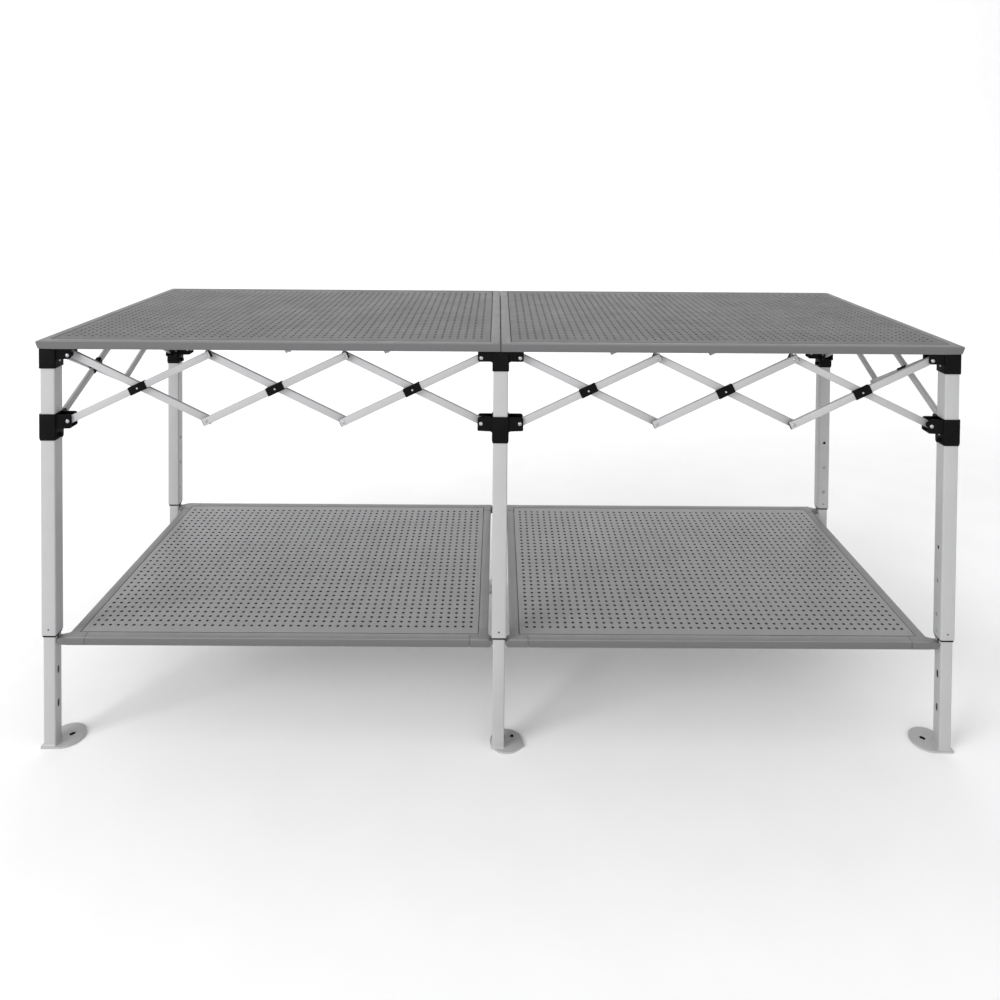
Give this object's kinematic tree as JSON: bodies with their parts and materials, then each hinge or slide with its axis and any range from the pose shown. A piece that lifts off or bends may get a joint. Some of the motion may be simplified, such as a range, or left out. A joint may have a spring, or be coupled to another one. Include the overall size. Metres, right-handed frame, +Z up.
{
  "type": "folding buffet table",
  "caption": "Long folding kitchen and buffet table: perforated metal top panels and shelves on a scissor-braced frame with telescopic square legs.",
  "frame": {"origin": "on the ground, under the middle of the table", "axes": "+X along the table, -Y towards the side it is seen from, +Z up"},
  "size_m": [2.01, 0.71, 0.9],
  "materials": {
    "leg_paint": "satin light grey powder coat",
    "panel_paint": "satin mid grey powder coat",
    "bracket_plastic": "matte moulded black",
    "zinc_steel": "bright zinc-plated steel"
  },
  "bodies": {
    "frame": {"upper_leg_front_left": "leg_paint", "top_bracket_front_left": "bracket_plastic", "slider_bracket_front_left": "bracket_plastic", "upper_leg_front_middle": "leg_paint", "top_bracket_front_middle": "bracket_plastic", "slider_bracket_front_middle": "bracket_plastic", "upper_leg_front_right": "leg_paint", "top_bracket_front_right": "bracket_plastic", "slider_bracket_front_right": "bracket_plastic", "upper_leg_back_left": "leg_paint", "top_bracket_back_left": "bracket_plastic", "slider_bracket_back_left": "bracket_plastic", "upper_leg_back_middle": "leg_paint", "top_bracket_back_middle": "bracket_plastic", "slider_bracket_back_middle": "bracket_plastic", "upper_leg_back_right": "leg_paint", "top_bracket_back_right": "bracket_plastic", "slider_bracket_back_right": "bracket_plastic", "scissor_front_1": "leg_paint", "scissor_front_2": "leg_paint", "scissor_front_3": "leg_paint", "scissor_front_4": "leg_paint", "scissor_front_5": "leg_paint", "scissor_front_6": "leg_paint", "scissor_back_1": "leg_paint", "scissor_back_2": "leg_paint", "scissor_back_3": "leg_paint", "scissor_back_4": "leg_paint", "scissor_back_5": "leg_paint", "scissor_back_6": "leg_paint", "scissor_left": "leg_paint", "scissor_middle": "leg_paint", "scissor_right": "leg_paint"},
    "lower_leg_front_left": {"lower_leg_front_left": "leg_paint"},
    "height_button_front_left": {"height_button_front_left": "zinc_steel"},
    "slider_lock_front_left": {"slider_lock_front_left": "bracket_plastic"},
    "lower_leg_front_middle": {"lower_leg_front_middle": "leg_paint"},
    "height_button_front_middle": {"height_button_front_middle": "zinc_steel"},
    "slider_lock_front_middle": {"slider_lock_front_middle": "bracket_plastic"},
    "lower_leg_front_right": {"lower_leg_front_right": "leg_paint"},
    "height_button_front_right": {"height_button_front_right": "zinc_steel"},
    "slider_lock_front_right": {"slider_lock_front_right": "bracket_plastic"},
    "lower_leg_back_left": {"lower_leg_back_left": "leg_paint"},
    "height_button_back_left": {"height_button_back_left": "zinc_steel"},
    "slider_lock_back_left": {"slider_lock_back_left": "bracket_plastic"},
    "lower_leg_back_middle": {"lower_leg_back_middle": "leg_paint"},
    "height_button_back_middle": {"height_button_back_middle": "zinc_steel"},
    "slider_lock_back_middle": {"slider_lock_back_middle": "bracket_plastic"},
    "lower_leg_back_right": {"lower_leg_back_right": "leg_paint"},
    "height_button_back_right": {"height_button_back_right": "zinc_steel"},
    "slider_lock_back_right": {"slider_lock_back_right": "bracket_plastic"},
    "top_panel_left": {"top_panel_left_frame": "panel_paint", "top_panel_left_sheet": "panel_paint"},
    "shelf_left": {"shelf_left_frame": "panel_paint", "shelf_left_sheet": "panel_paint"},
    "top_panel_right": {"top_panel_right_frame": "panel_paint", "top_panel_right_sheet": "panel_paint"},
    "shelf_right": {"shelf_right_frame": "panel_paint", "shelf_right_sheet": "panel_paint"}
  },
  "joints": [
    {"name": "leg_slide_front_left", "type": "slide", "parent": "frame", "child": "lower_leg_front_left", "axis": [0, 0, 1], "range_m": [0, 0.15]},
    {"name": "height_button_front_left_press", "type": "slide", "parent": "frame", "child": "height_button_front_left", "axis": [0, -1, 0], "range_m": [0, 0.0013], "stiffness_N_per_m": 1500},
    {"name": "slider_lock_front_left_pull", "type": "slide", "parent": "frame", "child": "slider_lock_front_left", "axis": [1, 0, 0], "range_m": [0, 0.004], "stiffness_N_per_m": 1500},
    {"name": "leg_slide_front_middle", "type": "slide", "parent": "frame", "child": "lower_leg_front_middle", "axis": [0, 0, 1], "range_m": [0, 0.15]},
    {"name": "height_button_front_middle_press", "type": "slide", "parent": "frame", "child": "height_button_front_middle", "axis": [0, -1, 0], "range_m": [0, 0.0013], "stiffness_N_per_m": 1500},
    {"name": "slider_lock_front_middle_pull", "type": "slide", "parent": "frame", "child": "slider_lock_front_middle", "axis": [0, 1, 0], "range_m": [0, 0.004], "stiffness_N_per_m": 1500},
    {"name": "leg_slide_front_right", "type": "slide", "parent": "frame", "child": "lower_leg_front_right", "axis": [0, 0, 1], "range_m": [0, 0.15]},
    {"name": "height_button_front_right_press", "type": "slide", "parent": "frame", "child": "height_button_front_right", "axis": [1, 0, 0], "range_m": [0, 0.0013], "stiffness_N_per_m": 1500},
    {"name": "slider_lock_front_right_pull", "type": "slide", "parent": "frame", "child": "slider_lock_front_right", "axis": [-1, 0, 0], "range_m": [0, 0.004], "stiffness_N_per_m": 1500},
    {"name": "leg_slide_back_left", "type": "slide", "parent": "frame", "child": "lower_leg_back_left", "axis": [0, 0, 1], "range_m": [0, 0.15]},
    {"name": "height_button_back_left_press", "type": "slide", "parent": "frame", "child": "height_button_back_left", "axis": [-1, 0, 0], "range_m": [0, 0.0013], "stiffness_N_per_m": 1500},
    {"name": "slider_lock_back_left_pull", "type": "slide", "parent": "frame", "child": "slider_lock_back_left", "axis": [1, 0, 0], "range_m": [0, 0.004], "stiffness_N_per_m": 1500},
    {"name": "leg_slide_back_middle", "type": "slide", "parent": "frame", "child": "lower_leg_back_middle", "axis": [0, 0, 1], "range_m": [0, 0.15]},
    {"name": "height_button_back_middle_press", "type": "slide", "parent": "frame", "child": "height_button_back_middle", "axis": [0, 1, 0], "range_m": [0, 0.0013], "stiffness_N_per_m": 1500},
    {"name": "slider_lock_back_middle_pull", "type": "slide", "parent": "frame", "child": "slider_lock_back_middle", "axis": [0, -1, 0], "range_m": [0, 0.004], "stiffness_N_per_m": 1500},
    {"name": "leg_slide_back_right", "type": "slide", "parent": "frame", "child": "lower_leg_back_right", "axis": [0, 0, 1], "range_m": [0, 0.15]},
    {"name": "height_button_back_right_press", "type": "slide", "parent": "frame", "child": "height_button_back_right", "axis": [0, 1, 0], "range_m": [0, 0.0013], "stiffness_N_per_m": 1500},
    {"name": "slider_lock_back_right_pull", "type": "slide", "parent": "frame", "child": "slider_lock_back_right", "axis": [-1, 0, 0], "range_m": [0, 0.004], "stiffness_N_per_m": 1500},
    {"name": "top_panel_left_lift", "type": "slide", "parent": "frame", "child": "top_panel_left", "axis": [0, 0, 1], "range_m": [0, 0.3]},
    {"name": "shelf_left_draw", "type": "slide", "parent": "frame", "child": "shelf_left", "axis": [0, -1, 0], "range_m": [0, 0.72]},
    {"name": "top_panel_right_lift", "type": "slide", "parent": "frame", "child": "top_panel_right", "axis": [0, 0, 1], "range_m": [0, 0.3]},
    {"name": "shelf_right_draw", "type": "slide", "parent": "frame", "child": "shelf_right", "axis": [0, -1, 0], "range_m": [0, 0.72]}
  ]
}
